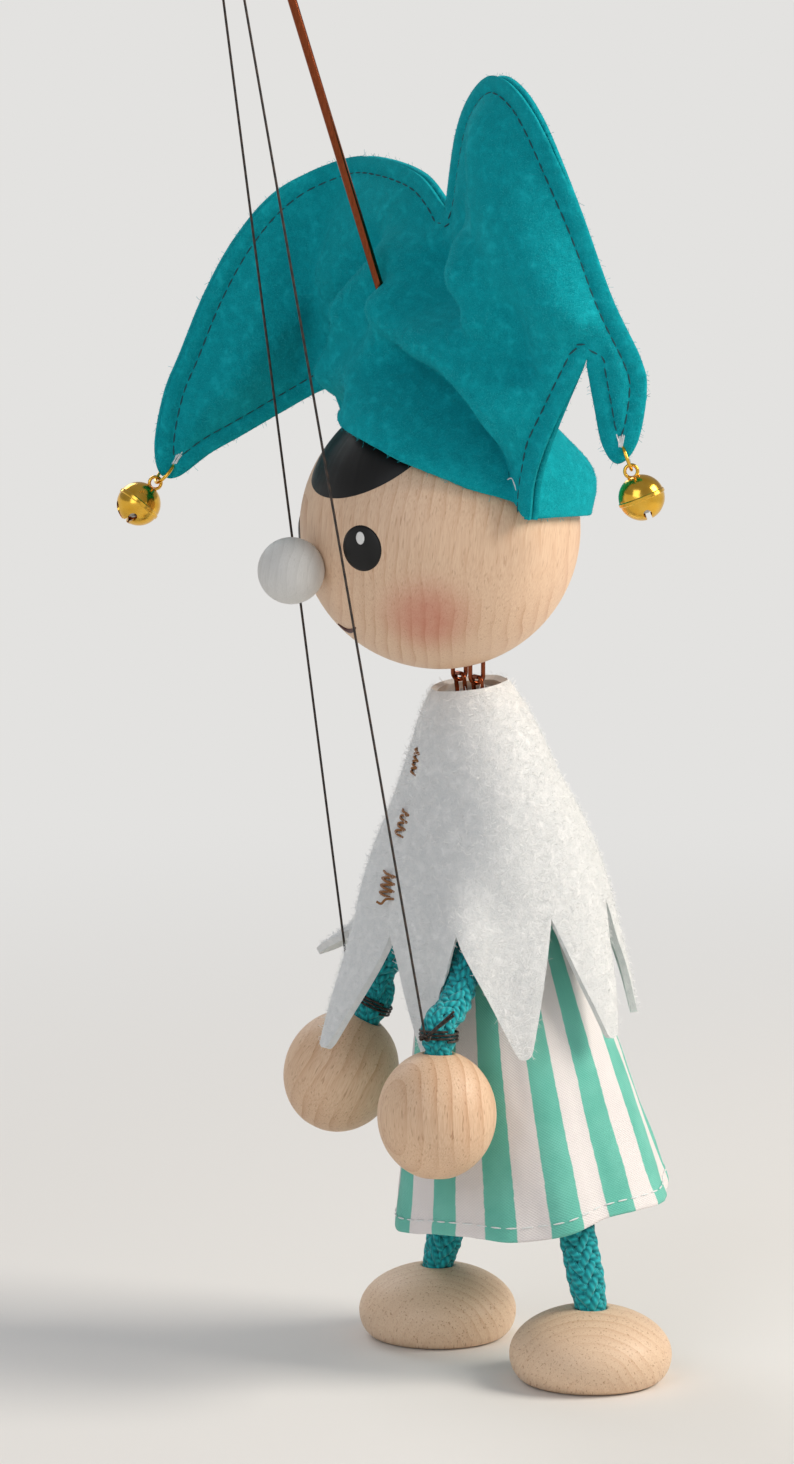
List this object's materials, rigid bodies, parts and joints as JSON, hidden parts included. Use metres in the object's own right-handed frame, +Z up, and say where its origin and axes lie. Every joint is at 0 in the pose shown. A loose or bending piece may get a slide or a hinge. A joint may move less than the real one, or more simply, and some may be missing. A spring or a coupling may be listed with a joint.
{
  "type": "jester marionette",
  "caption": "String puppet of a jester: turned wood head, hands and feet, two-horned felt hat with bells, pointed felt cape and striped skirt, hung from a control bar by a rod and strings.",
  "frame": {"origin": "on the flat top of the control bar, on the head rod's axis", "axes": "+Z up, the face looks along -Y, the puppet's left is +X"},
  "size_m": [0.0918, 0.0946, 0.2696],
  "materials": {
    "beech": "satin oiled beech",
    "nose_paint": "thin grey stain over the grain",
    "copper": "copper-plated wire",
    "teal_felt": "wool felt",
    "white_felt": "wool felt",
    "striped_cotton": "woven cotton with mint and white stripes",
    "teal_cord": "braided cord",
    "thread": "waxed thread",
    "bell_brass": "polished brass",
    "pellet_steel": "bright steel"
  },
  "bodies": {
    "head_and_control": {"control_bar": "beech", "head_rod": "copper", "head": "beech", "nose": "nose_paint", "nose_peg": "beech", "hat_front_panel": "teal_felt", "hat_back_panel": "teal_felt", "left_neck_eye": "copper", "right_neck_eye": "copper"},
    "torso": {"torso_block": "beech", "left_neck_hook": "copper", "right_neck_hook": "copper", "cape": "white_felt", "skirt": "striped_cotton", "left_shoulder_cord": "teal_cord", "right_shoulder_cord": "teal_cord", "left_hip_cord": "teal_cord", "right_hip_cord": "teal_cord"},
    "left_bell": {"left_bell_ring": "bell_brass", "left_bell_shell": "bell_brass", "left_bell_pellet": "pellet_steel"},
    "left_arm": {"left_arm_cord": "teal_cord", "left_hand": "beech", "left_wrist_wrap": "thread", "left_wrist_knot": "thread"},
    "left_pull": {"left_top_knot": "thread"},
    "left_string": {"left_hand_string": "thread"},
    "left_leg": {"left_leg_cord": "teal_cord", "left_foot": "beech"},
    "right_bell": {"right_bell_ring": "bell_brass", "right_bell_shell": "bell_brass", "right_bell_pellet": "pellet_steel"},
    "right_arm": {"right_arm_cord": "teal_cord", "right_hand": "beech", "right_wrist_wrap": "thread", "right_wrist_knot": "thread"},
    "right_pull": {"right_top_knot": "thread"},
    "right_string": {"right_hand_string": "thread"},
    "right_leg": {"right_leg_cord": "teal_cord", "right_foot": "beech"}
  },
  "joints": [
    {"name": "neck_nod", "type": "hinge", "parent": "head_and_control", "child": "torso", "pos_m": [0, 0.03983, -0.13452], "axis": [1, 0, 0], "range_deg": [-12, 5], "deforming": ["left_hand_string", "right_hand_string"]},
    {"name": "left_arm_raise", "type": "hinge", "parent": "torso", "child": "left_arm", "pos_m": [0.0169, 0.02853, -0.19012], "axis": [-1, 0, 0], "range_deg": [0, 60], "deforming": ["left_hand_string"]},
    {"name": "left_string_pull", "type": "slide", "parent": "head_and_control", "child": "left_pull", "axis": [0, -0.3223, 0.9466], "range_m": [0, 0.0105]},
    {"name": "left_string_swing", "type": "hinge", "parent": "left_pull", "child": "left_string", "pos_m": [0.004, -0.00657, -0.01174], "axis": [1, 0, 0], "range_deg": [-4, 2]},
    {"name": "left_leg_swing", "type": "hinge", "parent": "torso", "child": "left_leg", "pos_m": [0.013, 0.05063, -0.21352], "axis": [-1, 0, 0], "range_deg": [-22, 24]},
    {"name": "left_bell_swing", "type": "hinge", "parent": "head_and_control", "child": "left_bell", "pos_m": [0.03968, 0.0484, -0.0912], "axis": [-0.866, 0.5, 0], "range_deg": [-12, 45]},
    {"name": "right_arm_raise", "type": "hinge", "parent": "torso", "child": "right_arm", "pos_m": [-0.0245, 0.03533, -0.19052], "axis": [-1, 0, 0], "range_deg": [0, 60], "deforming": ["right_hand_string"]},
    {"name": "right_string_pull", "type": "slide", "parent": "head_and_control", "child": "right_pull", "axis": [0, -0.3223, 0.9466], "range_m": [0, 0.0085]},
    {"name": "right_string_swing", "type": "hinge", "parent": "right_pull", "child": "right_string", "pos_m": [-0.004, -0.00657, -0.01174], "axis": [1, 0, 0], "range_deg": [-4, 2]},
    {"name": "right_leg_swing", "type": "hinge", "parent": "torso", "child": "right_leg", "pos_m": [-0.013, 0.05063, -0.21352], "axis": [-1, 0, 0], "range_deg": [-26, 10]},
    {"name": "right_bell_swing", "type": "hinge", "parent": "head_and_control", "child": "right_bell", "pos_m": [-0.0414, 0.00074, -0.0978], "axis": [-0.9848, 0.1736, 0], "range_deg": [-55, 12]}
  ],
  "couplings": [
    {"joint": "left_string_pull", "follows": "left_arm_raise", "m_per_rad": 0.0095},
    {"joint": "left_string_swing", "follows": "neck_nod", "ratio": 0.3},
    {"joint": "right_string_pull", "follows": "right_arm_raise", "m_per_rad": 0.0077},
    {"joint": "right_string_swing", "follows": "neck_nod", "ratio": 0.3}
  ]
}
